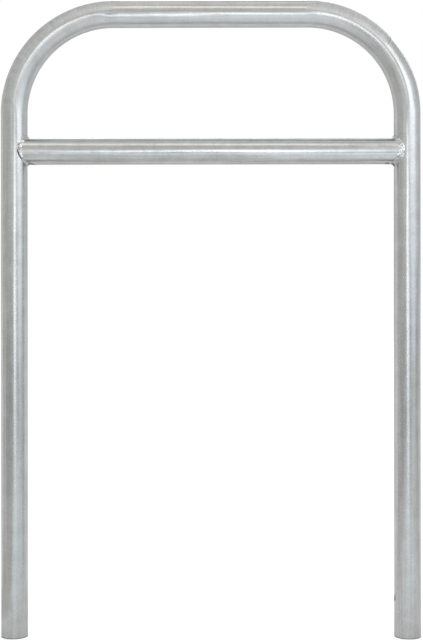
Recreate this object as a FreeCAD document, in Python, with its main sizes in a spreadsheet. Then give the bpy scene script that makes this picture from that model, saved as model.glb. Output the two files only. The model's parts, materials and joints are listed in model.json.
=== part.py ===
"""Hoop bike rack: a tube bent to an upside-down U and a coped cross rail, joined by two welds.

Millimetres, +Z up, front towards -Y. The hoop lies in the XZ plane. The origin is halfway between
the two sawn foot ends, on the plane that they stand on.
"""

import FreeCAD
import Part
import Sketcher

import math
import os

from enum import IntEnum

from FreeCAD import Vector

# name of the size, millimetres, what it measures
SIZES = [
    ("TubeDiameter", 48.3, "outside of the tube that the hoop and the rail are made of"),
    ("TubeWall", 2.6, "wall of that tube"),
    ("HoopWidth", 760.0, "outside of one leg to outside of the other"),
    ("HoopHeight", 1150.0, "sawn foot ends to the top of the hoop, buried part included"),
    ("BendRadius", 180.0, "of the two bends, to the tube's centre line"),
    ("RailDrop", 248.0, "centre line of the top run down to centre line of the rail"),
    ("FitUpGap", 0.3, "between the coped end of the rail and the leg"),
    ("EarTrim", 12.5, "leg's centre line to the trimmed ears of the cope"),
    ("WeldUpLeg", 5.5, "top of the rail to the weld's toe on the leg, and the same below"),
    ("WeldAlongRail", 7.0, "leg's inner side to the weld's toe on the rail"),
    ("WeldPastEar", 5.3, "trimmed ear to the weld's toe on the leg"),
    ("WeldBeforeEar", 3.0, "trimmed ear to the weld's toe on the rail"),
    ("WeldCrown", 1.2, "how far the bead stands proud of a line between its toes, at the ears"),
    ("WeldHollow", 1.2, "how far it sinks below that line, above and below the rail"),
    ("AnchorHoleDiameter", 13.0, "cross hole for an anchor rod near the right foot"),
    ("AnchorHoleHeight", 70.0, "foot end to the centre of that hole"),
    ("VentHoleDiameter", 8.0, "galvanising vent holes under the rail"),
    ("VentHoleSetback", 0.5, "weld's toe on the rail to the edge of the vent hole"),
]

TUBE_RADIUS = "Sizes.TubeDiameter / 2"
BORE_RADIUS = "Sizes.TubeDiameter / 2 - Sizes.TubeWall"
LEG_X = "Sizes.HoopWidth / 2 - Sizes.TubeDiameter / 2"
TOP_Z = "Sizes.HoopHeight - Sizes.TubeDiameter / 2"
RAIL_Z = TOP_Z + " - Sizes.RailDrop"
RAIL_LENGTH = "Sizes.HoopWidth - Sizes.TubeDiameter - 2 * Sizes.EarTrim"
COPE_RADIUS = TUBE_RADIUS + " + Sizes.FitUpGap"
VENT_X = (
    "Sizes.HoopWidth / 2 - Sizes.TubeDiameter - Sizes.WeldAlongRail"
    " - Sizes.VentHoleSetback - Sizes.VentHoleDiameter / 2"
)

WELD_SECTIONS = 24
TOE_DEPTH = 0.5  # how far the bead's section starts below the tube's surface, before it is trimmed
ROOT_DEPTH = 2.6  # how far below the corner between the tubes its root lies, before it is trimmed


class Axis(IntEnum):
    """A sketch's own two axes, by the numbers that constraints use."""

    X = -1
    Y = -2


class Point(IntEnum):
    """The points of a curve, by the numbers that constraints use."""

    START = 1
    END = 2
    CENTRE = 3


def make_sheet(doc):
    """Put every driving size in a spreadsheet, one row each, under its own name."""
    sheet = doc.addObject("Spreadsheet::Sheet", "Sizes")
    for row, (name, millimetres, meaning) in enumerate(SIZES, start=1):
        sheet.set(f"A{row}", name)
        sheet.set(f"B{row}", str(millimetres))
        sheet.setAlias(f"B{row}", name)
        sheet.set(f"C{row}", meaning)
    doc.recompute()
    return sheet


def new_sketch(body, name, plane):
    """Start a sketch on one of the body's own origin planes, such as XY_Plane."""
    sketch = body.newObject("Sketcher::SketchObject", name)
    features = body.Origin.OriginFeatures
    support = next(feature for feature in features if feature.Role == plane)
    sketch.AttachmentSupport = (support, [""])
    sketch.MapMode = "FlatFace"
    return sketch


def dimension(sketch, expression, kind, *where):
    """Add a dimension to a sketch and bind it to the sheet."""
    size = sketch.Document.Sizes.evalExpression(expression)
    index = sketch.addConstraint(Sketcher.Constraint(kind, *where, float(size)))
    sketch.setExpression(f"Constraints[{index}]", expression)


def draw_circle(sketch, x, y, radius):
    """Draw a circle whose radius is bound to the sheet, with its centre at a first guess."""
    measure = sketch.Document.Sizes.evalExpression
    round_edge = Part.Circle(Vector(x, y, 0), Vector(0, 0, 1), float(measure(radius)))
    circle = sketch.addGeometry(round_edge, False)
    dimension(sketch, radius, "Radius", circle)
    return circle


def draw_circle_pair(sketch, offset, radius):
    """Draw two equal circles on the sketch's X axis, one each side of the middle."""
    x = float(sketch.Document.Sizes.evalExpression(offset))
    right = draw_circle(sketch, x, 0, radius)
    left = draw_circle(sketch, -x, 0, radius)
    sketch.addConstraint(Sketcher.Constraint("PointOnObject", right, Point.CENTRE, Axis.X))
    sketch.addConstraint(Sketcher.Constraint("Symmetric", left, Point.CENTRE, right, Point.CENTRE, Axis.Y))
    dimension(sketch, offset, "DistanceX", Axis.X, Point.START, right, Point.CENTRE)


def add_pocket(body, name, sketch, forwards=False, both_ways=False):
    """Cut a sketch through the body, behind its plane unless told otherwise."""
    before = body.Shape.Volume
    pocket = body.newObject("PartDesign::Pocket", name)
    pocket.Profile = sketch
    pocket.Type = "ThroughAll"
    pocket.Reversed = forwards
    pocket.Midplane = both_ways
    body.Document.recompute()
    if not body.Shape.Volume < before:
        raise RuntimeError(f"{name} cut nothing")


def draw_hoop_path(body):
    """Draw the tube's centre line: up the left leg, over the top and down the right leg."""
    sketch = new_sketch(body, "HoopPath", "XZ_Plane")
    measure = body.Document.Sizes.evalExpression
    leg_x = float(measure(LEG_X))
    top_z = float(measure(TOP_Z))
    bend = float(measure("Sizes.BendRadius"))
    bend_x = leg_x - bend
    bend_z = top_z - bend
    up = Vector(0, 0, 1)
    quarter = math.pi / 2
    left_bend = Part.Circle(Vector(-bend_x, bend_z, 0), up, bend)
    right_bend = Part.Circle(Vector(bend_x, bend_z, 0), up, bend)
    curves = [
        Part.LineSegment(Vector(-leg_x, 0, 0), Vector(-leg_x, bend_z, 0)),
        Part.ArcOfCircle(left_bend, quarter, 2 * quarter),
        Part.LineSegment(Vector(-bend_x, top_z, 0), Vector(bend_x, top_z, 0)),
        Part.ArcOfCircle(right_bend, 0, quarter),
        Part.LineSegment(Vector(leg_x, bend_z, 0), Vector(leg_x, 0, 0)),
    ]
    left_leg, left_arc, top_run, right_arc, right_leg = sketch.addGeometry(curves, False)
    for rule in [
        ("Vertical", left_leg),
        ("Horizontal", top_run),
        ("Vertical", right_leg),
        ("Tangent", left_leg, Point.END, left_arc, Point.END),
        ("Tangent", left_arc, Point.START, top_run, Point.START),
        ("Tangent", top_run, Point.END, right_arc, Point.END),
        ("Tangent", right_arc, Point.START, right_leg, Point.START),
        ("Equal", left_arc, right_arc),
        ("PointOnObject", left_leg, Point.START, Axis.X),
        ("Symmetric", left_leg, Point.START, right_leg, Point.END, Axis.X, Point.START),
    ]:
        sketch.addConstraint(Sketcher.Constraint(*rule))
    dimension(sketch, LEG_X, "DistanceX", Axis.X, Point.START, right_leg, Point.END)
    dimension(sketch, TOP_Z, "DistanceY", Axis.X, Point.START, top_run, Point.START)
    dimension(sketch, "Sizes.BendRadius", "Radius", left_arc)
    return sketch


def draw_tube_section(body, name, plane, offset=None):
    """Draw the tube's two circles on a plane, at its middle or moved left by an offset."""
    sketch = new_sketch(body, name, plane)
    x = -float(body.Document.Sizes.evalExpression(offset)) if offset else 0.0
    outside = draw_circle(sketch, x, 0, TUBE_RADIUS)
    inside = draw_circle(sketch, x, 0, BORE_RADIUS)
    sketch.addConstraint(Sketcher.Constraint("Coincident", inside, Point.CENTRE, outside, Point.CENTRE))
    if offset:
        sketch.addConstraint(Sketcher.Constraint("PointOnObject", outside, Point.CENTRE, Axis.X))
        dimension(sketch, offset, "DistanceX", outside, Point.CENTRE, Axis.X, Point.START)
    else:
        middle = Sketcher.Constraint("Coincident", outside, Point.CENTRE, Axis.X, Point.START)
        sketch.addConstraint(middle)
    return sketch


def make_hoop(doc):
    """The bent tube, open at both feet, with the anchor rod's hole through its right leg."""
    body = doc.addObject("PartDesign::Body", "HoopTube")
    body.Label = "hoop_tube"
    path = draw_hoop_path(body)
    section = draw_tube_section(body, "HoopSection", "XY_Plane", LEG_X)
    doc.recompute()
    pipe = body.newObject("PartDesign::AdditivePipe", "BentTube")
    pipe.Profile = section
    pipe.Spine = (path, [f"Edge{number}" for number in range(1, path.GeometryCount + 1)])
    doc.recompute()
    hole = new_sketch(body, "AnchorHoleSketch", "YZ_Plane")
    height = float(doc.Sizes.evalExpression("Sizes.AnchorHoleHeight"))
    circle = draw_circle(hole, 0, height, "Sizes.AnchorHoleDiameter / 2")
    hole.addConstraint(Sketcher.Constraint("PointOnObject", circle, Point.CENTRE, Axis.Y))
    dimension(hole, "Sizes.AnchorHoleHeight", "DistanceY", Axis.X, Point.START, circle, Point.CENTRE)
    add_pocket(body, "AnchorHole", hole, forwards=True)
    return body


def make_rail(doc):
    """The cross rail: a straight tube, coped to both legs, with a vent hole under each end."""
    body = doc.addObject("PartDesign::Body", "CrossRail")
    body.Label = "cross_rail"
    section = draw_tube_section(body, "RailSection", "YZ_Plane")
    tube = body.newObject("PartDesign::Pad", "StraightTube")
    tube.Profile = section
    tube.Midplane = True
    tube.setExpression("Length", RAIL_LENGTH)
    doc.recompute()
    copes = new_sketch(body, "CopeSketch", "XY_Plane")
    draw_circle_pair(copes, LEG_X, COPE_RADIUS)
    add_pocket(body, "Copes", copes, both_ways=True)
    vents = new_sketch(body, "VentHoleSketch", "XY_Plane")
    draw_circle_pair(vents, VENT_X, "Sizes.VentHoleDiameter / 2")
    add_pocket(body, "VentHoles", vents)
    body.setExpression("Placement.Base.z", RAIL_Z)
    doc.recompute()
    return body


def weld_section(sheet, turn):
    """One cross-section of the bead, as a closed wire.

    The turn runs once round the rail: 0 is the top of the rail, a quarter turn its front. The leg's
    centre line is the Z axis here, and the rail's is the X axis, with the rail on the +X side.
    """
    radius = sheet.TubeDiameter / 2
    toe_past_leg_middle = sheet.EarTrim - sheet.WeldPastEar
    widest = math.acos(toe_past_leg_middle / radius)
    round_leg = widest * math.sin(turn)
    leg_normal = Vector(math.cos(round_leg), -math.sin(round_leg), 0)
    leg_toe = leg_normal * radius + Vector(0, 0, (radius + sheet.WeldUpLeg) * math.cos(turn))
    rail_normal = Vector(0, -math.sin(turn), math.cos(turn))
    reach_above = (radius + sheet.WeldAlongRail) * math.cos(turn)
    reach_at_ears = (sheet.EarTrim + sheet.WeldBeforeEar) * math.sin(turn)
    rail_toe = rail_normal * radius + Vector(math.hypot(reach_above, reach_at_ears), 0, 0)
    outwards = (leg_normal + rail_normal).normalize()
    between = (leg_toe + rail_toe) / 2
    above = math.cos(turn) ** 2
    at_ears = 1 - above
    proud = sheet.WeldCrown * at_ears - sheet.WeldHollow * above
    crown = between + outwards * proud
    corner_depth = math.hypot(sheet.WeldUpLeg, sheet.WeldAlongRail) / 2 * above
    root = between - outwards * (corner_depth + ROOT_DEPTH)
    leg_end = leg_toe - leg_normal * TOE_DEPTH
    rail_end = rail_toe - rail_normal * TOE_DEPTH
    face = Part.Arc(leg_end, crown, rail_end).toShape()
    rail_side = Part.LineSegment(rail_end, root).toShape()
    leg_side = Part.LineSegment(root, leg_end).toShape()
    return Part.Wire([face, rail_side, leg_side])


def weld_shape(sheet):
    """The all-round bead where a rail meets a leg, trimmed to the surfaces of both tubes."""
    step = 2 * math.pi / WELD_SECTIONS
    sections = [weld_section(sheet, number * step) for number in range(WELD_SECTIONS)]
    ring = Part.makeLoft(sections, True, False, True)
    radius = sheet.TubeDiameter / 2
    reach = 2 * sheet.TubeDiameter
    leg = Part.makeCylinder(radius, 2 * reach, Vector(0, 0, -reach), Vector(0, 0, 1))
    rail = Part.makeCylinder(radius, reach, Vector(sheet.EarTrim, 0, 0), Vector(1, 0, 0))
    return ring.cut([leg, rail])


def make_weld(doc, label, leg_x, turned):
    """Place a bead at one leg, with its rail side towards the middle of the hoop."""
    weld = doc.addObject("Part::Feature", label.title().replace("_", ""))
    weld.Label = label
    weld.Shape = weld_shape(doc.Sizes)
    weld.Placement.Rotation = FreeCAD.Rotation(Vector(0, 0, 1), turned)
    weld.setExpression("Placement.Base.x", leg_x)
    weld.setExpression("Placement.Base.z", RAIL_Z)
    doc.recompute()
    return weld


def check(doc, pieces):
    """Stop if any object failed to build, or if a piece isn't one sound solid."""
    for thing in doc.Objects:
        if {"Invalid", "Error"} & set(thing.State):
            raise RuntimeError(f"{thing.Name} failed to build: {thing.State}")
    for piece in pieces:
        shape = piece.Shape
        if shape.isNull() or not shape.isValid() or len(shape.Solids) != 1:
            raise RuntimeError(f"{piece.Label} isn't one sound solid")


def export(pieces):
    """Write each piece to its own file and print what was made."""
    os.makedirs("parts", exist_ok=True)
    for piece in pieces:
        piece.Shape.exportStep(os.path.join("parts", piece.Label + ".step"))
        box = piece.Shape.optimalBoundingBox()
        spans = f"X {box.XMin:.2f} to {box.XMax:.2f}, Z {box.ZMin:.2f} to {box.ZMax:.2f}"
        print(f"{piece.Label}: {piece.Shape.Volume / 1000:.2f} cm3, {spans}")


def main():
    """Build the rack, check it and write its pieces."""
    doc = FreeCAD.newDocument("HoopBikeRack")
    make_sheet(doc)
    pieces = [
        make_hoop(doc),
        make_rail(doc),
        make_weld(doc, "weld_left", f"-({LEG_X})", 0),
        make_weld(doc, "weld_right", LEG_X, 180),
    ]
    check(doc, pieces)
    export(pieces)


main()
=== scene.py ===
"""Hoop bike rack, dressed: bent tube, coped cross rail and two weld beads, all hot-dip galvanised.

Metres, +Z up, front towards -Y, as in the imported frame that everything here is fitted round.
"""

import json
import logging
import math

from contextlib import contextmanager
from dataclasses import dataclass
from enum import Enum
from functools import partialmethod
from typing import Callable, Iterator, Union

import bmesh
import bpy

from bmesh.types import BMesh
from bpy.types import Material, Node, NodeSocket, Object
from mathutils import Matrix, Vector, noise


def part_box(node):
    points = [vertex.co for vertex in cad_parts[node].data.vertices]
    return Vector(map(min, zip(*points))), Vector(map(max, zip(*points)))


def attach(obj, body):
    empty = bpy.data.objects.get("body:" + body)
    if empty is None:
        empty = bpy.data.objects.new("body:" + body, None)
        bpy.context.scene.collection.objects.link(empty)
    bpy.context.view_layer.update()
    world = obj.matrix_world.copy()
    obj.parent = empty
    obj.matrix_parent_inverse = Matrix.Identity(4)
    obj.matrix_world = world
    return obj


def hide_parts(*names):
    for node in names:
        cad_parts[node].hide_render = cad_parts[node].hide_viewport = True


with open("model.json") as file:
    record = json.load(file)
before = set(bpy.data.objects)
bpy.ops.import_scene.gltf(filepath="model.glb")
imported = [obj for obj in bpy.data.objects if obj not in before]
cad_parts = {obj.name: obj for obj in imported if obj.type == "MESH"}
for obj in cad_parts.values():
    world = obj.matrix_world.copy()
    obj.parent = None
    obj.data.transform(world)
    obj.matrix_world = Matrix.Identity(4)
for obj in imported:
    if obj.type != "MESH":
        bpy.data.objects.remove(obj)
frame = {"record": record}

log = logging.getLogger("hoop_bike_rack")

MM = 0.001
QUARTER_TURN = math.pi / 2
UPRIGHT = (0.0, 0.0, 0.0)
TOUCHING = 0.1 * MM
SMOOTH_BELOW = math.radians(40)
DRILL_SIDES = 64
SWELL_HEIGHT = 0.16 * MM
SWELL_SIZE = 45 * MM
MIDDLE = 0.5  # of a noise, and of a tone from dark to light
RAIL_APART = 9  # leg distances from the hoop's middle to the rail's, on the straightened tubes
HALVES_MEET = (-5 * MM, 5 * MM)  # from the hoop's middle, where left changes to right
PAST_HOOP = (2.0, 2.5)  # distances between the hoop's feet and the rail, on the straightened tubes
MIX_LOW, MIX_HIGH, MIX_RESULT = 6, 7, 2  # the sockets of a node that mixes colours
SENT_ON = ("Camera", "Glossy", "Transmission")  # the rays that see the floor as plain white
EDGE_TINT = (0.8, 0.8, 0.8, 1.0)
WHITE = (1.0, 1.0, 1.0, 1.0)

Span = tuple  # a pair: where something begins, and where it is full


class Slot(Enum):
    """The record's material slots."""

    TUBE = "galvanised_tube"
    WELD = "galvanised_weld"


class Side(Enum):
    """Which leg a piece belongs to, as the sign of its place along X."""

    LEFT = -1
    RIGHT = 1


@dataclass(frozen=True)
class RackSizes:
    """The rack's sizes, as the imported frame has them."""

    tube_radius: float
    bore_radius: float
    leg_x: float
    leg_length: float
    top_z: float
    rail_z: float
    rail_end_x: float
    bead_depth: float
    anchor_hole_radius: float
    anchor_hole_z: float

    @classmethod
    def from_frame(cls) -> "RackSizes":
        """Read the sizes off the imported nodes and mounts.

        Returns:
            The sizes, in metres.
        """
        mounts = {mount["name"]: mount for mount in frame["record"]["mounts"]}
        leg_bore = mounts["right_leg_bore"]
        anchor = mounts["anchor_rod_hole"]
        hoop_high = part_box("hoop_tube")[1]
        rail_low, rail_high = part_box("cross_rail")
        radius = hoop_high.y
        return cls(
            tube_radius=radius,
            bore_radius=leg_bore["dims"]["r_mm"] * MM,
            leg_x=leg_bore["pos_m"][0],
            leg_length=leg_bore["dims"]["length_mm"] * MM,
            top_z=hoop_high.z - radius,
            rail_z=(rail_low.z + rail_high.z) / 2,
            rail_end_x=rail_high.x,
            bead_depth=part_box("weld_left")[1].y,
            anchor_hole_radius=anchor["dims"]["r_mm"] * MM,
            anchor_hole_z=anchor["pos_m"][2],
        )

    @property
    def wall(self) -> float:
        """Thickness of the tube's wall."""
        return self.tube_radius - self.bore_radius

    @property
    def bend_radius(self) -> float:
        """Radius of the two bends, to the tube's centre line."""
        return self.top_z - self.leg_length

    @property
    def bend_length(self) -> float:
        """Length of a bend along the tube's centre line."""
        return self.bend_radius * QUARTER_TURN

    @property
    def bend_x(self) -> float:
        """Distance of a bend's centre, and of its start along the tube, from the hoop's middle."""
        return self.leg_x - self.bend_radius

    @property
    def bend_end(self) -> float:
        """Length of the tube from the middle of the hoop to a leg."""
        return self.bend_x + self.bend_length

    @property
    def foot_end(self) -> float:
        """Length of the tube from the middle of the hoop to a foot."""
        return self.bend_end + self.leg_length

    @property
    def rail_place(self) -> float:
        """Where the rail's middle lies on the straightened tubes, well past the hoop's feet."""
        return RAIL_APART * self.leg_x

    @property
    def drill_length(self) -> float:
        """Length of a drill that goes right through a tube and stands out either side."""
        return 4 * self.tube_radius


def clamped(value: float) -> float:
    """The value, kept between 0 and 1."""
    return max(0.0, min(1.0, value))


def deselect_all() -> None:
    """Leave nothing selected, out of edit mode."""
    if bpy.context.object and bpy.context.object.mode != "OBJECT":
        bpy.ops.object.mode_set(mode="OBJECT")
    bpy.ops.object.select_all(action="DESELECT")


def pick(piece: Object) -> None:
    """Make one object the only selected one, and the active one.

    Args:
        piece: the object.
    """
    deselect_all()
    piece.select_set(True)
    bpy.context.view_layer.objects.active = piece


@contextmanager
def shaping(piece: Object, action: str = "SELECT") -> Iterator[BMesh]:
    """Open a piece in edit mode, and leave edit mode at the end.

    Args:
        piece: the object to shape.
        action: SELECT or DESELECT, for all of it to begin with.

    Yields:
        The mesh that is being shaped, for selecting by place.
    """
    pick(piece)
    bpy.ops.object.mode_set(mode="EDIT")
    bpy.ops.mesh.select_all(action=action)
    yield bmesh.from_edit_mesh(piece.data)
    bpy.ops.object.mode_set(mode="OBJECT")


def settle(piece: Object) -> None:
    """Move a piece's place into its mesh, so that its object sits at the origin."""
    pick(piece)
    bpy.ops.object.transform_apply(location=True, rotation=True, scale=True)


def face_outwards(piece: Object) -> None:
    """Turn all faces of a piece's skin outwards."""
    with shaping(piece):
        bpy.ops.mesh.normals_make_consistent(inside=False)


def smooth(piece: Object) -> None:
    """Shade a piece smooth, with its sharp edges kept."""
    pick(piece)
    bpy.ops.object.shade_smooth_by_angle(angle=SMOOTH_BELOW)


def finish_modifier(piece: Object, name: str, kind: str, **settings: object) -> None:
    """Add a modifier with its settings and apply it.

    Args:
        piece: the object to change.
        name: a name for the modifier.
        kind: the modifier's type, such as SOLIDIFY.
        settings: its properties by name.
    """
    modifier = piece.modifiers.new(name, kind)
    for setting, value in settings.items():
        setattr(modifier, setting, value)
    pick(piece)
    bpy.ops.object.modifier_apply(modifier=modifier.name)


def start_tube(sizes: RackSizes, sides: int, place: tuple, turn: tuple = UPRIGHT) -> Object:
    """Add one ring of the tube's skin, to be drawn out.

    Args:
        sizes: the rack's sizes.
        sides: how many sides the skin has.
        place: the ring's middle.
        turn: its rotation from lying flat.

    Returns:
        The ring.
    """
    bpy.ops.mesh.primitive_circle_add(
        vertices=sides, radius=sizes.tube_radius, location=place, rotation=turn
    )
    ring = bpy.context.object
    settle(ring)
    return ring


def wall_tube(skin: Object, sizes: RackSizes) -> None:
    """Give a skin the slight unevenness of drawn tube under zinc, and the tube's wall within it.

    Args:
        skin: the tube's outer skin.
        sizes: the rack's sizes.
    """
    clouds = bpy.data.textures.new("Unevenness", "CLOUDS")
    clouds.noise_scale = SWELL_SIZE
    clouds.noise_depth = 1
    swells = {"texture": clouds, "strength": SWELL_HEIGHT, "mid_level": 1.0}
    finish_modifier(skin, "Unevenness", "DISPLACE", **swells)
    finish_modifier(skin, "Wall", "SOLIDIFY", thickness=sizes.wall, offset=-1.0)


def drill_hole(
    piece: Object, radius: float, length: float, place: tuple, turn: tuple = UPRIGHT
) -> None:
    """Cut a round hole in a piece.

    Args:
        piece: the object to cut.
        radius: the drill's radius.
        length: its length.
        place: its middle.
        turn: its rotation from upright.
    """
    deselect_all()
    bpy.ops.mesh.primitive_cylinder_add(
        vertices=DRILL_SIDES, radius=radius, depth=length, location=place, rotation=turn
    )
    drill = bpy.context.object
    settle(drill)
    finish_modifier(piece, "Cut", "BOOLEAN", object=drill, operation="DIFFERENCE", solver="EXACT")
    bpy.data.objects.remove(drill, do_unlink=True)


def straighten(piece: Object, where: Callable[[Vector], Vector]) -> None:
    """Store each vertex's place on the straightened piece, for patterns that follow the tube.

    Args:
        piece: the finished piece.
        where: gives the straightened place of a point.
    """
    places = piece.data.attributes.new("straightened", "FLOAT_VECTOR", "POINT")
    for vertex, place in zip(piece.data.vertices, places.data):
        place.vector = where(vertex.co)


def hand_over(piece: Object, name: str, slot: Slot, material: Material, *nodes: str) -> None:
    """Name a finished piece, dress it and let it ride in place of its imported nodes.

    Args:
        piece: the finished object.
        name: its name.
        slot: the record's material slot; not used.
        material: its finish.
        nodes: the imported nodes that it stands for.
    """
    piece.name = name
    piece.data.name = name
    piece.data.materials.clear()
    piece.data.materials.append(material)
    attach(piece, "root")
    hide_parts(*nodes)
    log.info("%s: %d faces", name, len(piece.data.polygons))


class Value:
    """A number that changes over a surface, which Python's operators work on."""

    def __init__(self, sheet: "FinishSheet", socket: NodeSocket) -> None:
        """Wrap an output socket of a material's sheet."""
        self.sheet = sheet
        self.socket = socket

    def _math(self, operation: str, *others: "Operand") -> "Value":
        """Add a Math node with this operation on this value and the others."""
        return self.sheet.math(operation, self, *others)

    def __rsub__(self, other: "Operand") -> "Value":
        """The other minus this."""
        return self.sheet.math("SUBTRACT", other, self)

    __add__ = __radd__ = partialmethod(_math, "ADD")
    __sub__ = partialmethod(_math, "SUBTRACT")
    __mul__ = __rmul__ = partialmethod(_math, "MULTIPLY")
    __truediv__ = partialmethod(_math, "DIVIDE")
    absolute = partialmethod(_math, "ABSOLUTE")
    smallest = partialmethod(_math, "MINIMUM")

    def step(self, span: Span, place: float = 0.0) -> "Value":
        """A smooth step from 0 to 1 over a span, which is measured from a place."""
        inputs = {"Value": self, "From Min": place + span[0], "From Max": place + span[1]}
        return self.sheet.value("MapRange", inputs, interpolation_type="SMOOTHSTEP")


Operand = Union[Value, float]
Tint = Union[NodeSocket, tuple]


@dataclass(frozen=True)
class Pattern:
    """Soft cloudy noise: its features to a metre, or to a metre of each axis, and its detail."""

    scale: Union[float, tuple]
    detail: float = 2.0


class FinishSheet:
    """One material's nodes, which are added in one way."""

    def __init__(self, name: str) -> None:
        """Start an empty material.

        Args:
            name: the material's name.
        """
        self.material = bpy.data.materials.new(name)
        self.material.use_nodes = True
        self.tree = self.material.node_tree
        self.tree.nodes.clear()

    def add(self, kind: str, inputs: dict | None = None, **settings: object) -> Node:
        """Add a node.

        Args:
            kind: the node's type, without the ShaderNode before it.
            inputs: values or links by the socket's name or number.
            settings: its properties by name, set before its sockets.

        Returns:
            The new node.
        """
        node = self.tree.nodes.new(f"ShaderNode{kind}")
        for name, value in settings.items():
            setattr(node, name, value)
        for name, value in (inputs or {}).items():
            source = value.socket if isinstance(value, Value) else value
            if isinstance(source, NodeSocket):
                self.tree.links.new(source, node.inputs[name])
            else:
                node.inputs[name].default_value = source
        return node

    def close(self, shader: Node) -> Material:
        """Finish the material with this shader as its surface."""
        self.add("OutputMaterial", {"Surface": shader.outputs[0]})
        return self.material

    def value(self, kind: str, inputs: dict, **settings: object) -> Value:
        """Add a node, and take its first output."""
        return Value(self, self.add(kind, inputs, **settings).outputs[0])

    def math(self, operation: str, *operands: Operand) -> Value:
        """Add a Math node with this operation on these operands."""
        return self.value("Math", dict(enumerate(operands)), operation=operation)

    def attribute(self, name: str) -> Node:
        """An attribute that the piece's mesh carries."""
        return self.add("Attribute", attribute_name=name)

    def parts(self, place: NodeSocket) -> list[Value]:
        """The X, Y and Z of a place."""
        node = self.add("SeparateXYZ", {0: place})
        return [Value(self, part) for part in node.outputs]

    def noise(self, place: NodeSocket, pattern: Pattern) -> Value:
        """Lay a pattern of noise over a place.

        Args:
            place: the place that it follows.
            pattern: the noise.

        Returns:
            The noise, from 0 to 1.
        """
        scale = pattern.scale
        if isinstance(scale, tuple):
            place = self.add("Mapping", {"Vector": place, "Scale": scale}).outputs[0]
            scale = 1.0
        inputs = {"Vector": place, "Scale": scale, "Detail": pattern.detail}
        return self.value("TexNoise", inputs)

    def spot(self, place: NodeSocket, middle: tuple, size: float) -> Value:
        """1 in the heart of a round spot, falling to 0 at its edge."""
        away = self.add("VectorMath", {0: place, 1: middle}, operation="DISTANCE")
        return Value(self, away.outputs["Value"]).step((size, size / 2))

    def blend(self, factor: Value, low: Tint, high: Tint) -> NodeSocket:
        """A colour that goes from low to high with the factor."""
        inputs = {0: factor, MIX_LOW: low, MIX_HIGH: high}
        return self.add("Mix", inputs, data_type="RGBA").outputs[MIX_RESULT]

    def zinc(self, colour: NodeSocket, rough: Value, relief: Value) -> Material:
        """Finish the material as metallic zinc.

        Args:
            colour: its colour.
            rough: its roughness.
            relief: the height of its skin, in metres.

        Returns:
            The finished material.
        """
        bump = self.add("Bump", {"Distance": 1.0, "Height": relief})
        inputs = {
            "Base Color": colour,
            "Metallic": 1.0,
            "Roughness": rough,
            "Normal": bump.outputs[0],
            "Specular Tint": EDGE_TINT,
        }
        return self.close(self.add("BsdfPrincipled", inputs))


class TubePlace:
    """Where a point lies on the straightened tubes, as their material sees it.

    Outwards is away from the hoop's middle, and up on the rail. Distance is along the tubes, from
    the hoop's middle. Right is 1 on the right half, and rail is 1 on the rail.
    """

    def __init__(self, sizes: RackSizes, sheet: FinishSheet) -> None:
        """Read the place that the piece's mesh carries.

        Args:
            sizes: the rack's sizes.
            sheet: the material's sheet.
        """
        self.sizes = sizes
        self.sheet = sheet
        self.along = sheet.attribute("straightened").outputs["Vector"]
        self.outwards, self.back, lengthwise = sheet.parts(self.along)
        self.distance = lengthwise.absolute()
        self.right = lengthwise.step(HALVES_MEET)
        self.rail = self.distance.step(PAST_HOOP)


@dataclass(frozen=True)
class DullBend:
    """The outer half of each bend, which the bending stretched; on the right it ends early."""

    start: Span = (-10 * MM, 15 * MM)
    end: Span = (5 * MM, -5 * MM)
    outer_side: Span = (0.5 * MM, 4 * MM)
    right_length: float = 152 * MM

    def share(self, at: TubePlace) -> Value:
        """0 off the dull part and 1 on it."""
        shortened = at.distance + (at.sizes.bend_length - self.right_length) * at.right
        return (
            at.distance.step(self.start, at.sizes.bend_x)
            * shortened.step(self.end, at.sizes.bend_end)
            * at.outwards.step(self.outer_side)
        )


@dataclass(frozen=True)
class DieMark:
    """The mark that the bending die left at the right bend's dull end: two lines, askew."""

    place: float = 153.3 * MM
    pivot: float = 20 * MM
    slope: float = 0.32
    apart: float = 1.2 * MM
    line: Span = (1.2 * MM, 0.4 * MM)
    brightness: float = 1.4
    darkness: float = 0.8
    outer_side: Span = (4 * MM, 8 * MM)

    def tone(self, at: TubePlace) -> Value:
        """How much lighter the mark makes a point.

        Args:
            at: where the point lies.

        Returns:
            Above 0 on the bright line, below 0 on the dark one and 0 off both.
        """
        past = at.distance - at.sizes.bend_x - self.place + (at.outwards - self.pivot) * self.slope
        bright = (past - self.apart).absolute().step(self.line)
        dark = (past + self.apart).absolute().step(self.line)
        mark = self.brightness * bright - self.darkness * dark
        return mark * at.outwards.step(self.outer_side) * at.right


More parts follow.
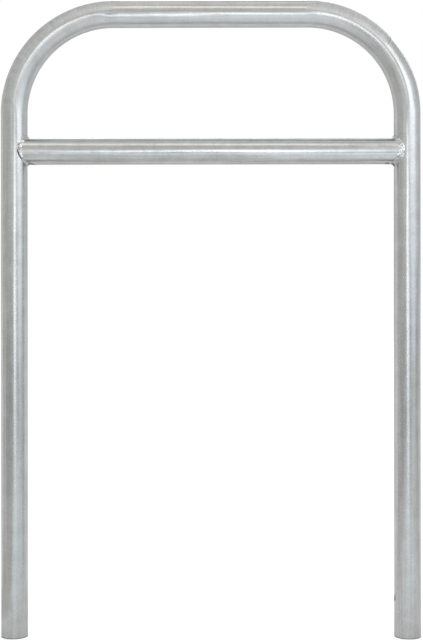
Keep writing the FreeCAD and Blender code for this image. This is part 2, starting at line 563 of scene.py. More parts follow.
@dataclass(frozen=True)
class PaintedHighlightLine:
    """A painted highlight: a light line that wanders along the front of each run, in place of a lamp's
    reflection.

    An offset is how far inwards of the tube's middle it lies, and a shine how bright it is.
    """

    width: Span = (2.6 * MM, 0.65 * MM)
    front_side: Span = (-8 * MM, -16 * MM)
    wander: Pattern = Pattern((0.0, 0.0, 24.0))
    wander_reach: float = 2.4 * MM
    top_offset: float = 7.3 * MM
    top_end: Span = (45 * MM, 0.0)
    top_right_end: Span = (30 * MM, -60 * MM)
    top_shine: float = 1.7
    bend_offset: float = 2.3 * MM
    bend_start: Span = (0.0, 45 * MM)
    bend_end: Span = (10 * MM, -40 * MM)
    bend_shine: float = 0.35
    bend_slimness: float = 0.6
    left_offset: float = 4.9 * MM
    right_offset: float = 2.9 * MM
    leg_start: Span = (-30 * MM, 20 * MM)
    leg_end: Span = (290 * MM, 140 * MM)
    right_delay: float = 30 * MM
    rail_offset: float = 4.0 * MM
    rail_shine: float = 0.25
    rail_left_end: Span = (20 * MM, -290 * MM)
    rail_left_shine: float = 2.2
    rail_left_breadth: float = 0.5

    def share(self, at: TubePlace) -> Value:
        """How far a point is on the painted highlight line.

        Args:
            at: where the point lies.

        Returns:
            0 off it, and its shine there on it.
        """
        sizes = at.sizes
        top = at.distance.step(self.top_end, sizes.bend_x)
        bend = at.distance.step(self.bend_start, sizes.bend_x)
        bend = bend * at.distance.step(self.bend_end, sizes.bend_end)
        leg = (at.distance - self.right_delay * at.right).step(self.leg_start, sizes.bend_end)
        leg = leg * at.distance.step(self.leg_end, sizes.bend_end)
        rail_left = at.rail * at.distance.step(self.rail_left_end, sizes.rail_place)
        offset = self.left_offset + (self.right_offset - self.left_offset) * at.right * leg
        offset = offset + (self.top_offset - self.left_offset) * top
        offset = offset + (self.rail_offset - self.left_offset) * at.rail
        offset = offset + (self.bend_offset - self.left_offset) * bend
        wander = (at.sheet.noise(at.along, self.wander) - MIDDLE) * self.wander_reach
        away = (at.outwards + wander + offset).absolute()
        away = away * (1 + self.bend_slimness * bend) / (1 + self.rail_left_breadth * rail_left)
        top = top * (at.distance * (2 * at.right - 1)).step(self.top_right_end)
        shine = leg + self.top_shine * top + self.bend_shine * bend
        shine = shine + self.rail_shine * at.rail + self.rail_left_shine * rail_left
        return away.step(self.width) * at.back.step(self.front_side) * shine


@dataclass(frozen=True)
class PaintedRailShade:
    """Painted shade on the rail's underside: from higher up on one stretch, and fainter, than beside
    it.
    """

    stretch_x: float = -100 * MM
    stretch: Span = (200 * MM, 120 * MM)
    stretch_low_side: Span = (-4 * MM, -9 * MM)
    stretch_depth: float = 0.25
    low_side: Span = (-15 * MM, -20 * MM)
    depth: float = 0.3

    def tone(self, at: TubePlace) -> Value:
        """How much darker the painted shade makes a point, 0 off it."""
        stretch = (at.distance - at.sizes.rail_place - self.stretch_x).absolute().step(self.stretch)
        return (
            self.stretch_depth * stretch * at.outwards.step(self.stretch_low_side)
            + self.depth * at.rail * (1 - stretch) * at.outwards.step(self.low_side)
        )


@dataclass(frozen=True)
class TubeFinish:
    """Hot-dip zinc on drawn tube: dull silver with faint crystals, runs and cloudy patches.

    The relief is grain, fine lines across and slow swells, each with its height. The places of the
    painted shade under the joints beside the beads are along the rail, each with its size and strength.
    """

    sizes: RackSizes
    dark: tuple = (0.285, 0.283, 0.272, 1.0)
    light: tuple = (0.51, 0.52, 0.525, 1.0)
    rim: tuple = (0.12, 0.12, 0.12, 1.0)
    highlight_colour: tuple = (0.80, 0.81, 0.815, 1.0)
    joint_shade: tuple = (0.1, 0.1, 0.095, 1.0)
    clouds: Pattern = Pattern(45.0, 3.0)
    cloud_share: float = 0.35
    crystals: Pattern = Pattern(240.0)
    crystal_share: float = 0.25
    runs: Pattern = Pattern((260.0, 260.0, 9.0))
    run_share: float = 0.4
    contrast: float = 1.5
    hatching: Pattern = Pattern((40.0, 40.0, 290.0), 1.0)
    hatch_contrast: float = 0.1
    bend_hatch_contrast: float = 0.5
    relief: tuple = (
        (Pattern(700.0), 0.012 * MM),
        (Pattern((60.0, 60.0, 520.0), 1.0), 0.03 * MM),
        (Pattern(70.0), 0.06 * MM),
    )
    bend: DullBend = DullBend()
    bend_lightness: float = 0.12
    bend_roughness: float = 0.24
    foot_zone: Span = (-30 * MM, 0.0)
    foot_darkness: float = 0.12
    foot_roughness: float = 0.12
    rim_zone: Span = (-1.8 * MM, -0.8 * MM)
    smoothest: float = 0.21
    roughest: float = 0.33
    inner_side: Span = (-3 * MM, -9 * MM)
    inner_end: Span = (470 * MM, 440 * MM)
    inner_roughness: float = 0.12
    top_end: Span = (250 * MM, 150 * MM)
    lying_smoothness: float = 0.06
    die_mark: DieMark = DieMark()
    painted_rail_shade: PaintedRailShade = PaintedRailShade()
    highlight_line: PaintedHighlightLine = PaintedHighlightLine()
    highlight_line_strength: float = 0.17
    cloudy_highlight_line_strength: float = 0.5
    # Painted shade under the rail's joints with the legs, beside the beads.
    joint_shade_places: tuple = ((-325.0 * MM, 6.0 * MM, 1.0), (319.0 * MM, 6.5 * MM, 0.7))
    joint_shade_depth: float = 0.6 * MM
    joint_shade_y: float = -5.5 * MM

    def material(self) -> Material:
        """Make the finish's material.

        Returns:
            The material, patterned on the piece's straightened place.
        """
        sheet = FinishSheet("GalvanisedTube")
        at = TubePlace(self.sizes, sheet)
        cloud = sheet.noise(at.along, self.clouds)
        run = sheet.noise(at.along, self.runs)
        dull = self.bend.share(at)
        foot = at.distance.step(self.foot_zone, self.sizes.foot_end) * (1 - at.rail)
        rim = at.distance.step(self.rim_zone, self.sizes.foot_end) * foot
        crystal = sheet.noise(at.along, self.crystals)
        hatch = sheet.noise(at.along, self.hatching)
        mixed = cloud * self.cloud_share + crystal * self.crystal_share + run * self.run_share
        tone = MIDDLE + (mixed - MIDDLE) * self.contrast
        tone = tone + (hatch - MIDDLE) * (self.hatch_contrast + self.bend_hatch_contrast * dull)
        tone = tone + self.bend_lightness * dull - self.foot_darkness * foot
        # The die mark, and painted shade under the rail.
        tone = tone + self.die_mark.tone(at) - self.painted_rail_shade.tone(at)
        colour = sheet.blend(rim, sheet.blend(tone, self.dark, self.light), self.rim)
        # Painted highlight: a light line along the front of each run, in place of a lamp's reflection.
        strength = self.highlight_line_strength + self.cloudy_highlight_line_strength * cloud
        colour = sheet.blend(self.highlight_line.share(at) * strength, colour, self.highlight_colour)
        # Painted shade under the joints, beside the rail's beads.
        colour = sheet.blend(self._joint_shade_share(at), colour, self.joint_shade)
        rough = self.smoothest + (self.roughest - self.smoothest) * (cloud + run) / 2
        inside = at.outwards.step(self.inner_side) * at.distance.step(self.inner_end)
        lying = at.distance.step(self.top_end) + at.rail
        rough = rough + self.bend_roughness * dull + self.foot_roughness * foot
        rough = rough + self.inner_roughness * inside - self.lying_smoothness * lying
        relief = sum(sheet.noise(at.along, pattern) * height for pattern, height in self.relief)
        return sheet.zinc(colour, rough, relief)

    def _joint_shade_share(self, at: TubePlace) -> Value:
        """How far a point is on the painted shade under the joints, beside the rail's beads."""
        low, rail = self.joint_shade_depth - self.sizes.tube_radius, self.sizes.rail_place
        return sum(
            strength * at.sheet.spot(at.along, (low, self.joint_shade_y, rail + place_x), size)
            for place_x, size, strength in self.joint_shade_places
        )


@dataclass(frozen=True)
class WeldFinish:
    """Zinc over a hand-laid weld: brighter and crinkled, with dark pits and painted shade where it
    ends.

    A spot of painted shade has its X, its Y, its height above the rail's bottom and its size, in
    millimetres.
    """

    sizes: RackSizes
    dark: tuple = (0.28, 0.28, 0.275, 1.0)
    light: tuple = (0.76, 0.77, 0.78, 1.0)
    # Dark colour of the pits and of the painted shade.
    scale: tuple = (0.05, 0.05, 0.048, 1.0)
    clouds: Pattern = Pattern(160.0)
    cloud_share: float = 0.4
    crinkles: Pattern = Pattern(420.0)
    crinkle_height: float = 0.5 * MM
    lights: Span = (0.44, 0.6)
    plain_tone: float = 0.15
    tone_drop: float = 0.6
    crinkle_tone: float = 0.45
    smoothest: float = 0.16
    roughest: float = 0.34
    scale_roughness: float = 0.3
    plain_roughness: float = 0.1
    # Spots of painted shade under the joint, at the rail's bottom.
    shade_spots: tuple = ((-326.2, -6.0, 0.6, 4.0), (328.0, -4.0, -2.5, 7.0))
    shade_spot_strength: float = 0.8
    pits: Span = (0.42, 0.36)
    pit_strength: float = 0.6
    # Painted shade over the top rear of the bead, in place of a lamp's reflection.
    top_shade_zone: Span = (-2 * MM, 1 * MM)
    top_shade_rear_side: Span = (-15 * MM, -8 * MM)
    top_shade_strength: float = 0.4

    def material(self) -> Material:
        """Make the finish's material.

        Returns:
            The material, with its painted shade and crinkles where the bead's mesh has them.
        """
        sheet = FinishSheet("GalvanisedWeld")
        place = sheet.attribute("straightened").outputs["Vector"]
        crinkled = Value(sheet, sheet.attribute("crinkled").outputs["Fac"])
        cloud = sheet.noise(place, self.clouds)
        crinkle = sheet.noise(place, self.crinkles)
        mixed = cloud * self.cloud_share + crinkle * (1 - self.cloud_share)
        tone = mixed.step(self.lights) - self.tone_drop + self.crinkle_tone * crinkled
        tone = self.plain_tone + tone * crinkled
        # The painted shade line at the left bead's leg toe, with the shade spots, pits and top shade
        # added below.
        scale = Value(sheet, sheet.attribute("toe").outputs["Fac"])
        rail_bottom = self.sizes.rail_z - self.sizes.tube_radius
        for place_x, place_y, above, size in self.shade_spots:
            middle = (place_x * MM, place_y * MM, rail_bottom + above * MM)
            scale = scale + self.shade_spot_strength * sheet.spot(place, middle, size * MM)
        scale = scale + self.pit_strength * crinkled * mixed.step(self.pits)
        back, height = sheet.parts(place)[1:]
        # Painted shade over the bead's top rear.
        painted_top_shade = height.step(self.top_shade_zone, self.sizes.rail_z + self.sizes.tube_radius)
        scale = scale + self.top_shade_strength * painted_top_shade * back.step(self.top_shade_rear_side)
        colour = sheet.blend(scale, sheet.blend(tone, self.dark, self.light), self.scale)
        rough = self.smoothest + (self.roughest - self.smoothest) * cloud
        rough = rough + self.scale_roughness * scale + self.plain_roughness * (1 - crinkled)
        return sheet.zinc(colour, rough, crinkle * crinkled * self.crinkle_height)


@dataclass
class HoopTube:
    """The bent tube: two legs, two bends and the top run, open at both feet."""

    sizes: RackSizes
    sides: int = 120
    run_pitch: float = 12 * MM
    bend_pitch: float = 3.5 * MM
    ridge_turn: float = math.radians(4)
    ridge_flats: float = 0.045
    ridge_ease: float = 14 * MM
    rim_rounding: float = 0.4 * MM

    def build(self, material: Material) -> None:
        """Bend the tube, open its wall and drill its anchor rod hole.

        Args:
            material: the finish.
        """
        sizes = self.sizes
        hoop = self._bend_half()
        mirrored = {"use_axis": (True, False, False), "merge_threshold": TOUCHING}
        finish_modifier(hoop, "RightHalf", "MIRROR", **mirrored)
        face_outwards(hoop)
        for vertex in hoop.data.vertices:
            vertex.co = self._ridged(vertex.co)
        wall_tube(hoop, sizes)
        self._round_rims(hoop)
        hole = (sizes.leg_x, 0, sizes.anchor_hole_z)
        drill_hole(hoop, sizes.anchor_hole_radius, sizes.drill_length, hole, (0, QUARTER_TURN, 0))
        smooth(hoop)
        straighten(hoop, self._straightened)
        hand_over(hoop, "galvanised_hoop", Slot.TUBE, material, "hoop_tube")

    def _bend_half(self) -> Object:
        """Draw half of the tube's skin: the left leg, its bend and the top run to the middle.

        Returns:
            The skin.
        """
        sizes = self.sizes
        hoop = start_tube(sizes, self.sides, (-sizes.leg_x, 0, 0))
        leg_steps = round(sizes.leg_length / self.run_pitch)
        top_steps = round(sizes.bend_x / self.run_pitch)
        with shaping(hoop):
            bpy.ops.mesh.extrude_repeat(steps=leg_steps, offset=(0, 0, sizes.leg_length / leg_steps))
            bpy.ops.mesh.spin(
                steps=round(sizes.bend_length / self.bend_pitch),
                angle=QUARTER_TURN,
                center=(-sizes.bend_x, 0, sizes.leg_length),
                axis=(0, -1, 0),
            )
            bpy.ops.mesh.extrude_repeat(steps=top_steps, offset=(sizes.bend_x / top_steps, 0, 0))
        return hoop

    def _ridged(self, place: Vector) -> Vector:
        """Press a point of a bend's skin flatter, each side of the ridge that the dies leave.

        Args:
            place: the point on the round tube.

        Returns:
            The same point on the pressed tube.
        """
        sizes = self.sizes
        along = self._straightened(place)
        into_bend = abs(along.z) - sizes.bend_x
        share = min(into_bend, sizes.bend_length - into_bend) / self.ridge_ease
        if share <= 0:
            return place
        turn = math.atan2(along.x, abs(along.y)) - self.ridge_turn
        depth = self.ridge_flats * min(1.0, share) * abs(math.sin(2 * turn) * math.cos(turn))
        hub = Vector((math.copysign(sizes.bend_x, place.x), 0, sizes.leg_length))
        reach = Vector((place.x, 0, place.z)) - hub
        centre = hub + reach.normalized() * sizes.bend_radius
        return centre + (place - centre) * (1 - depth)

    def _round_rims(self, hoop: Object) -> None:
        """Round the edges of the two sawn ends a little, as the zinc does.

        Args:
            hoop: the tube with its wall.
        """
        with shaping(hoop, "DESELECT") as mesh:
            for edge in mesh.edges:
                low = all(vertex.co.z < TOUCHING for vertex in edge.verts)
                edge.select_set(low and edge.calc_face_angle(0.0) > QUARTER_TURN / 2)
            bpy.ops.mesh.bevel(offset=self.rim_rounding, segments=2, affect="EDGES")
        for vertex in hoop.data.vertices:
            vertex.co.z = max(0.0, vertex.co.z)

    def _straightened(self, place: Vector) -> Vector:
        """Where a point of the hoop would lie if its tube were straight.

        Args:
            place: the point on the bent tube.

        Returns:
            Its offset away from the hoop's middle, its offset back, and its distance along the tube.
        """
        sizes = self.sizes
        side = -1 if place.x < 0 else 1
        if place.z <= sizes.leg_length:
            outwards = abs(place.x) - sizes.leg_x
            to_middle = sizes.foot_end - place.z
        elif abs(place.x) > sizes.bend_x:
            reach = Vector((abs(place.x) - sizes.bend_x, place.z - sizes.leg_length))
            outwards = reach.length - sizes.bend_radius
            to_middle = sizes.bend_x + sizes.bend_radius * math.atan2(reach.x, reach.y)
        else:
            outwards = place.z - sizes.top_z
            to_middle = abs(place.x)
        return Vector((outwards, place.y, side * to_middle))


@dataclass
class CrossRail:
    """The straight tube between the legs, coped to both, with a vent hole under each end."""

    sizes: RackSizes
    sides: int = 96
    ring_pitch: float = 7 * MM
    fit_up_gap: float = 0.3 * MM
    vent_hole_radius: float = 4 * MM
    vent_hole_x: float = 320.2 * MM

    def build(self, material: Material) -> None:
        """Cut the tube to length, cope its ends and drill its vent holes.

        Args:
            material: the finish.
        """
        sizes = self.sizes
        left_end = (-sizes.rail_end_x, 0, sizes.rail_z)
        rail = start_tube(sizes, self.sides, left_end, (0, QUARTER_TURN, 0))
        steps = round(2 * sizes.rail_end_x / self.ring_pitch)
        with shaping(rail):
            bpy.ops.mesh.extrude_repeat(steps=steps, offset=(2 * sizes.rail_end_x / steps, 0, 0))
        face_outwards(rail)
        wall_tube(rail, sizes)
        for side in Side:
            leg = (side.value * sizes.leg_x, 0, sizes.rail_z)
            drill_hole(rail, sizes.tube_radius + self.fit_up_gap, sizes.drill_length, leg)
            below = (side.value * self.vent_hole_x, 0, sizes.rail_z - sizes.tube_radius)
            drill_hole(rail, self.vent_hole_radius, sizes.tube_radius, below)
        smooth(rail)
        straighten(rail, self._straightened)
        hand_over(rail, "galvanised_rail", Slot.TUBE, material, "cross_rail")

    def _straightened(self, place: Vector) -> Vector:
        """A point's height over the rail's middle, its offset back and its place along the rail."""
        along = place.x + self.sizes.rail_place
        return Vector((place.z - self.sizes.rail_z, place.y, along))


@dataclass(frozen=True)
class BeadHand:
    """What differs between the two hand-laid beads.

    Crinkles, lumps and the painted shade line on the leg have the first and last turn away from the
    rail's top, in degrees.
    Squareness is how long the toe on the leg stays by the rail before it swings to the front.
    """

    rail_toe_x: float
    crinkles: tuple
    lumps: tuple
    lightness: float = 1.0
    leg_shift: float = 0.0
    upper_squareness: float = 1.0
    lower_squareness: float = 1.0
    leg_shade_line: tuple | None = None


HANDS = {
    Side.LEFT: BeadHand(
        rail_toe_x=17 * MM,
        crinkles=(46, 120),
        lumps=(42, 124),
        lightness=1.35,
        leg_shift=1.5 * MM,
        upper_squareness=0.5,
        lower_squareness=1.8,
        leg_shade_line=(84, 132),
    ),
    Side.RIGHT: BeadHand(rail_toe_x=19 * MM, crinkles=(74, 122), lumps=(26, 140)),
}


@dataclass
class WeldBead:
    """One all-round fillet weld, with its ripples, lumps and uneven toes.

    Lengths are those of the bead's section above and below the rail, where it is hollow, and at
    the rail's front and back, where the rail's trimmed ears leave it wide and crowned.
    """

    sizes: RackSizes
    side: Side
    up_leg: float = 5.5 * MM
    along_rail: float = 7 * MM
    leg_toe_x: float = 7.2 * MM
    crown: float = 0.7 * MM
    hollow: float = 2.2 * MM
    sunk: float = 0.5 * MM
    root_depth: float = 2.6 * MM
    rings: int = 400
    ring_points: int = 36
    blank_radius: float = 0.25
    run_reach: float = 1.2
    ripple_pitch: float = 2.7 * MM
    ripple_height: float = 0.3 * MM
    ripple_bow: float = 2.2 * MM
    plain_ripple: float = 0.4
    crinkled_ripple: float = 0.6
    lump_size: float = 9 * MM
    lump_height: float = 0.5 * MM
    toe_wobble: float = 2.0
    rail_toe_noise: float = 5.0
    side_noise: float = 3.7
    crinkle_size: float = 2.2 * MM
    crinkle_height: float = 0.35 * MM
    crinkle_ease: float = 8.0
    lumpy_share: float = 0.5
    face_share: float = 0.78
    toe_share: float = 0.3
    toe_crispness: float = 12.0

    @property
    def hand(self) -> BeadHand:
        """What is this bead's own."""
        return HANDS[self.side]

    def build(self, material: Material) -> None:
        """Shape a torus into the bead, ring by ring, and seat it on the two tubes.

        Args:
            material: the finish.
        """
        bpy.ops.mesh.primitive_torus_add(
            major_segments=self.rings,
            minor_segments=self.ring_points,
            major_radius=1.0,
            minor_radius=self.blank_radius,
        )
        bead = bpy.context.object
        # toe carries the painted shade line at the left bead's leg toe, and crinkled how crinkled the
        # bead is.
        for name in ("toe", "crinkled"):
            bead.data.attributes.new(name, "FLOAT", "POINT")
        toes = bead.data.attributes["toe"].data
        crinkles = bead.data.attributes["crinkled"].data
        for vertex, toe, crinkled in zip(bead.data.vertices, toes, crinkles):
            turn = math.atan2(vertex.co.y, vertex.co.x)
            across = math.atan2(vertex.co.z, math.hypot(vertex.co.x, vertex.co.y) - 1.0)
            share = across / math.tau % 1.0
            vertex.co = self._seated(self._bead_point(turn, share))
            toe.value = self._painted_toe_shade(turn, share)
            crinkled.value = self._crinkled(turn)
        face_outwards(bead)
        smooth(bead)
        straighten(bead, lambda place: place.copy())
        name = self.side.name.lower()
        hand_over(bead, f"weld_bead_{name}", Slot.WELD, material, f"weld_{name}")

    def _seated(self, point: Vector) -> Vector:
        """Bring a point from the bead's own place, with the rail on +X, to its leg."""
        side = self.side.value
        return Vector((side * (self.sizes.leg_x - point.x), point.y, self.sizes.rail_z + point.z))

    def _bead_point(self, turn: float, share: float) -> Vector:
        """One point of the bead's skin.

        Args:
            turn: how far round the rail, 0 at its top and a quarter turn at its front.
            share: how far round the bead's section, from 0 at the toe on the leg.

        Returns:
            The point, from the crossing of the two centre lines.
        """
        leg_toe, rail_toe, leg_normal, rail_normal = self._toes(turn)
        outwards = (leg_normal + rail_normal).normalized()
        leg_end = leg_toe - leg_normal * self.sunk
        rail_end = rail_toe - rail_normal * self.sunk
        if share > self.face_share:
            corner = math.hypot(self.up_leg, self.along_rail) / 2 * math.cos(turn) ** 2
            root = (leg_toe + rail_toe) / 2 - outwards * (corner + self.root_depth)
            back = 2 * (share - self.face_share) / (1.0 - self.face_share)
            return rail_end.lerp(root, back) if back < 1 else root.lerp(leg_end, back - 1)
        across = share / self.face_share
        point = leg_end.lerp(rail_end, across)
        point += outwards * self._height(turn, across, point)
        limit = self.sizes.bead_depth
        point.y = max(-limit, min(limit, point.y))
        return point

    def _toes(self, turn: float) -> tuple[Vector, ...]:
        """Where the bead ends on the two tubes.

        Args:
            turn: how far round the rail.

        Returns:
            Its toe on the leg, its toe on the rail, and the way straight out of each tube there.
        """
        radius, hand = self.sizes.tube_radius, self.hand
        rise, front = math.cos(turn), math.sin(turn)
        squareness = hand.upper_squareness if rise > 0 else hand.lower_squareness
        spread = math.copysign(abs(front) ** squareness, front)
        leg_turn = math.acos((self.leg_toe_x + hand.leg_shift) / radius) * spread
        leg_normal = Vector((math.cos(leg_turn), -math.sin(leg_turn), 0.0))
        rail_normal = Vector((0.0, -front, rise))
        up = (radius + self.up_leg + self.toe_wobble * self._noise(turn, 0.0)) * rise
        reach = math.hypot((radius + self.along_rail) * rise, hand.rail_toe_x * front)
        reach += self.toe_wobble * self._noise(turn, self.rail_toe_noise)
        leg_toe = leg_normal * radius + Vector((0.0, 0.0, up))
        rail_toe = rail_normal * radius + Vector((reach, 0.0, 0.0))
        return leg_toe, rail_toe, leg_normal, rail_normal

    def _height(self, turn: float, across: float, point: Vector) -> float:
        """How far the bead's face stands out of the line between its toes.

        Args:
            turn: how far round the rail.
            across: how far from the toe on the leg to that on the rail.
            point: the point of the line.

        Returns:
            The height, with its lumps, ripples and crinkles.
        """
        bulge = 4 * across * (1 - across)
        above = math.cos(turn) ** 2
        crinkled = self._crinkled(turn)
        swell = self.crown * (1 - above) - self.hollow * above + self._noise(turn, 0.0)
        swell += self.crinkle_height * crinkled * noise.noise(point / self.crinkle_size)
        bow = self.ripple_bow * (2 * across - 1) ** 2
        ripple = abs(math.sin(math.pi * (self._run(turn) + bow) / self.ripple_pitch)) - MIDDLE
        ripple *= self.ripple_height * (self.plain_ripple + self.crinkled_ripple * crinkled)
        return bulge * swell + math.sqrt(bulge) * (self.sunk + ripple)

    def _crinkled(self, turn: float) -> float:
        """How crinkled the bead is: 1 or more at the rail's front and back, less and then 0 beyond."""
        lumpy = self.lumpy_share * self._within(turn, self.hand.lumps)
        return self.hand.lightness * max(self._within(turn, self.hand.crinkles), lumpy)

    def _within(self, turn: float, span: tuple) -> float:
        """1 inside a span of the turn either way, in degrees, falling to 0 outside it."""
        degrees = abs(math.degrees(turn))
        return clamped(MIDDLE + min(degrees - span[0], span[1] - degrees) / self.crinkle_ease)

    def _painted_toe_shade(self, turn: float, share: float) -> float:
        """How far a point is on the painted shade line where the left bead's lower front ends on the
        leg.

        Args:
            turn: how far round the rail.
            share: how far round the bead's section.

        Returns:
            0 off the line and 1 on it.
        """
        if self.hand.leg_shade_line is None:
            return 0.0
        first, last = self.hand.leg_shade_line
        part = (math.degrees(turn) - first) / (last - first)
        if not 0 < part < 1:
            return 0.0
        inside = math.sin(math.pi * part) * self.toe_share - share
        return clamped(MIDDLE + self.toe_crispness * inside)

    def _run(self, turn: float) -> float:
        """The bead's length from the rail's top up to a turn."""
        return turn % math.tau * self.sizes.tube_radius * self.run_reach

    def _noise(self, turn: float, offset: float) -> float:
        """Slow unevenness along the bead, up to the lump height each way."""
        place = Vector((self._run(turn) / self.lump_size, offset, self.side_noise * self.side.value))
        return self.lump_height * noise.noise(place)


@dataclass
class Camera:
    """The photograph's view: square on to the hoop, level with its middle."""

    place: tuple = (0.0125, -2.2, 0.5722)
    roll: float = 0.001
    yaw: float = 0.005
    focal_pixels: float = 1214.7
    frame_height_pixels: float = 640.0
    sensor: float = 36.0

    def build(self) -> None:
        """Add the camera and make it the scene's own."""
        data = bpy.data.cameras.new("Camera")
        data.sensor_width = self.sensor
        data.lens = self.focal_pixels / self.frame_height_pixels * self.sensor
        camera = bpy.data.objects.new("Camera", data)
        camera.location = self.place
        camera.rotation_euler = (QUARTER_TURN, self.roll, self.yaw)
        bpy.context.collection.objects.link(camera)
        bpy.context.scene.camera = camera


@dataclass(frozen=True)
class Lamp:
    """One soft lamp: a lit rectangle that faces its target, or else straight back."""

    name: str
    place: tuple
    width: float
    height: float
    level: float
    colour: tuple
    target: tuple | None = None

    def build(self) -> None:
        """Hang the lamp, out of the camera's sight."""
        data = bpy.data.lights.new(self.name, "AREA")
        data.shape = "RECTANGLE"
        data.size = self.width
        data.size_y = self.height
        data.energy = self.level * self.width * self.height * math.pi
        data.color = self.colour
        lamp = bpy.data.objects.new(self.name, data)
        lamp.location = self.place
        facing = Vector(self.target or (self.place[0], 0.0, self.place[2])) - Vector(self.place)
        lamp.rotation_euler = facing.to_track_quat("-Z", "Y").to_euler()
        lamp.visible_camera = False
        bpy.context.collection.objects.link(lamp)


@dataclass(frozen=True)
class Card:
    """A plain grey card beside the rack, which shows only where it is mirrored.

    Its turn and its tilt from lying flat are in degrees.
    """

    name: str
    place: tuple
    turn: float
    width: float
    height: float
    colour: tuple
    tilt: float = 90.0

    def build(self) -> None:
        """Stand the card up, out of the camera's sight."""
        deselect_all()
        turns = (math.radians(self.tilt), 0, math.radians(self.turn))
        bpy.ops.mesh.primitive_plane_add(size=1.0, location=self.place, rotation=turns)
        card = bpy.context.object
        card.name = self.name
        card.scale = (self.width, self.height, 1.0)
        card.visible_camera = False
        card.visible_shadow = False
        card.visible_diffuse = False
        sheet = FinishSheet(self.name)
        card.data.materials.append(sheet.close(sheet.add("Emission", {"Color": self.colour})))


def seen_directly(sheet: FinishSheet) -> Value:
    """1 for rays from the eye, and for those that metal or glass sends on."""
    rays = sheet.add("LightPath").outputs
    return sum(Value(sheet, rays[f"Is {ray} Ray"]) for ray in SENT_ON).smallest(1.0)


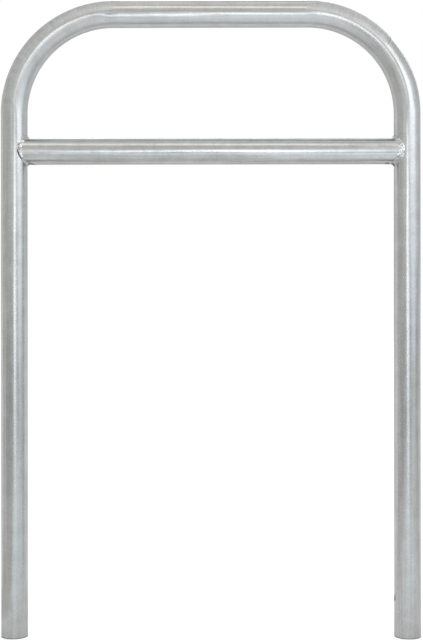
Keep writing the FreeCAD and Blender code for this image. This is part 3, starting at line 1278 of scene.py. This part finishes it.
@dataclass
class Studio:
    """The plain white floor and surroundings, the grey cards and the soft lamps."""

    floor_size: float = 60.0
    floor_colour: tuple = (0.86, 0.86, 0.86, 1.0)
    floor_sheen: tuple = (0.09, 0.09, 0.09, 1.0)
    floor_roughness: float = 0.25
    shadow_strength: float = 0.22
    shadow_reach: Span = (0.5, 1.6)
    cards: tuple = (
        Card("LeftCard", (-1.575, -1.062, 1.15), -56, 1.54, 1.3, (0.89, 0.9, 0.86, 1.0)),
        Card("LeftLowCard", (-1.343, -1.343, 0.26), -45, 1.85, 0.48, (0.61, 0.63, 0.62, 1.0)),
        Card("LeftSideCard", (-1.9, 0.07, 0.9), -92, 0.6, 1.76, (0.91, 0.89, 0.86, 1.0)),
        Card("FrontLowCard", (-0.375, -2.3, 0.17), 0, 0.95, 0.3, (0.5, 0.5, 0.5, 1.0)),
        Card("FrontLeftCard", (-0.62, -2.3, 0.58), 0, 0.45, 0.52, (0.5, 0.5, 0.5, 1.0)),
        Card("RightLowCard", (1.007, -1.611, 0.26), 32, 0.74, 0.48, (0.67, 0.75, 0.81, 1.0)),
        Card("RightSideCard", (1.89, -0.2, 0.36), 84, 1.09, 0.68, (0.80, 0.83, 0.85, 1.0)),
        Card("LeftFloorCard", (-1.0, -0.6, 0.004), 0, 1.0, 1.6, (0.9, 0.89, 0.86, 1.0), tilt=0.0),
    )
    lamps: tuple = (
        Lamp("FrontTopLamp", (0.0, -2.3, 1.02), 0.3, 0.36, 1.5, (0.9, 1.0, 0.95)),
        Lamp("FrontLamp", (0.08, -2.3, 0.7), 0.36, 0.24, 3.7, (1.0, 0.98, 0.96)),
        Lamp("FrontLowerLamp", (0.18, -2.3, 0.47), 0.32, 0.24, 2.45, (0.85, 0.93, 1.0)),
        Lamp("FrontLowLamp", (0.22, -2.3, 0.19), 0.22, 0.32, 1.93, (0.97, 1.0, 1.0)),
        Lamp("FrontRightLamp", (0.5, -2.3, 0.6), 0.4, 0.3, 1.99, (0.61, 0.86, 1.0)),
        Lamp("FrontTopRightLamp", (0.45, -2.3, 1.0), 0.4, 0.36, 0.97, (1.0, 0.97, 1.0)),
        Lamp("FrontLeftLamp", (-0.45, -2.3, 0.6), 0.4, 0.3, 1.75, (0.71, 0.89, 1.0)),
        Lamp("LeftUpperLamp", (-0.75, -2.0, 1.25), 0.5, 0.7, 0.4, (0.85, 0.97, 1.0), (0, 0, 1.2)),
        Lamp("RightUpperLamp", (1.343, -1.343, 1.45), 1.6, 0.7, 1.89, (0.89, 0.94, 1.0), (0, 0, 1.45)),
        Lamp("RightTopLamp", (1.2, -1.49, 2.14), 1.2, 0.56, 1.46, (0.95, 1.0, 0.96), (0.6, 0, 0.9)),
        Lamp("RightLamp", (1.517, -1.143, 0.8), 1.31, 0.6, 0.76, (0.72, 0.85, 1.0), (0, 0, 0.8)),
        Lamp("RightSideLamp", (1.87, -0.33, 1.2), 0.8, 1.2, 0.32, (0.55, 0.79, 1.0), (0, 0, 1.2)),
        Lamp("RightRearLamp", (1.56, 1.09, 0.91), 1.85, 1.78, 0.08, (0.6, 0.79, 1.0), (0, 0, 0.9)),
        Lamp("RightRearLowLamp", (1.27, 1.41, 0.36), 0.95, 0.68, 0.28, (0.89, 1.0, 0.95), (0, 0, 0.4)),
        Lamp("LeftRearLamp", (-1.68, 0.89, 0.91), 1.38, 1.78, 0.25, (0.9, 1.0, 0.97), (0, 0, 0.9)),
        Lamp("OverheadLamp", (-0.3, -1.12, 2.46), 1.8, 0.56, 0.99, (1.0, 0.96, 0.81), (0, 0, 0.9)),
        Lamp("CeilingLamp", (0.6, 0.1, 2.8), 2.4, 1.1, 0.32, (1.0, 0.92, 0.85), (0.6, 0.1, 0.9)),
        Lamp("RearLamp", (0.3, 1.53, 2.09), 3.0, 0.56, 2.76, (0.81, 0.94, 1.0), (0, 0, 0.9)),
        Lamp("FrontPanel", (0.5, -1.6, 0.003), 2.0, 0.8, 0.72, (0.84, 0.92, 1.0), (0.5, -1.6, 1)),
        Lamp("MiddlePanel", (0.35, -0.73, 0.003), 1.7, 0.94, 0.27, (0.65, 0.89, 1.0), (0.35, -0.73, 1)),
        Lamp("RearPanel", (0.1, 0.75, 0.003), 3.0, 0.9, 0.17, (0.91, 0.98, 1.0), (0.1, 0.75, 1)),
    )

    def build(self) -> None:
        """Lay the floor, surround it with white, stand the cards up and hang the lamps."""
        self._lay_floor()
        self._white_surroundings()
        for piece in self.cards + self.lamps:
            piece.build()

    def _lay_floor(self) -> None:
        """Lay a floor that is white to the eye and keeps a part of the rack's shadow."""
        deselect_all()
        bpy.ops.mesh.primitive_plane_add(size=self.floor_size)
        floor = bpy.context.object
        floor.name = "Floor"
        sheet = FinishSheet("Floor")
        place = sheet.add("TexCoord").outputs["Object"]
        reach = sheet.add("VectorMath", {0: place}, operation="LENGTH")
        far = Value(sheet, reach.outputs["Value"]).step(self.shadow_reach)
        white_share = (1 - self.shadow_strength * (1 - far)) * seen_directly(sheet)
        matt = sheet.add("BsdfDiffuse", {"Color": self.floor_colour}).outputs[0]
        white = sheet.add("Emission").outputs[0]
        mixed = sheet.add("MixShader", {0: white_share, 1: matt, 2: white}).outputs[0]
        gloss = {"Color": self.floor_sheen, "Roughness": self.floor_roughness}
        sheen = sheet.add("BsdfGlossy", gloss).outputs[0]
        floor.data.materials.append(sheet.close(sheet.add("AddShader", {0: mixed, 1: sheen})))

    def _white_surroundings(self) -> None:
        """Surround the rack with plain white."""
        world = bpy.data.worlds.new("Surroundings")
        world.use_nodes = True
        background = world.node_tree.nodes["Background"]
        background.inputs["Color"].default_value = WHITE
        background.inputs["Strength"].default_value = 1.0
        bpy.context.scene.world = world


def main() -> None:
    """Build the rack, its floor, light and camera."""
    logging.basicConfig(level=logging.INFO, format="%(name)s: %(message)s")
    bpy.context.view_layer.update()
    bpy.context.scene.view_settings.view_transform = "Standard"
    sizes = RackSizes.from_frame()
    Camera().build()
    Studio().build()
    tube_finish = TubeFinish(sizes).material()
    weld_finish = WeldFinish(sizes).material()
    deselect_all()
    HoopTube(sizes).build(tube_finish)
    CrossRail(sizes).build(tube_finish)
    for side in Side:
        WeldBead(sizes, side).build(weld_finish)


if __name__ == "__main__":
    main()
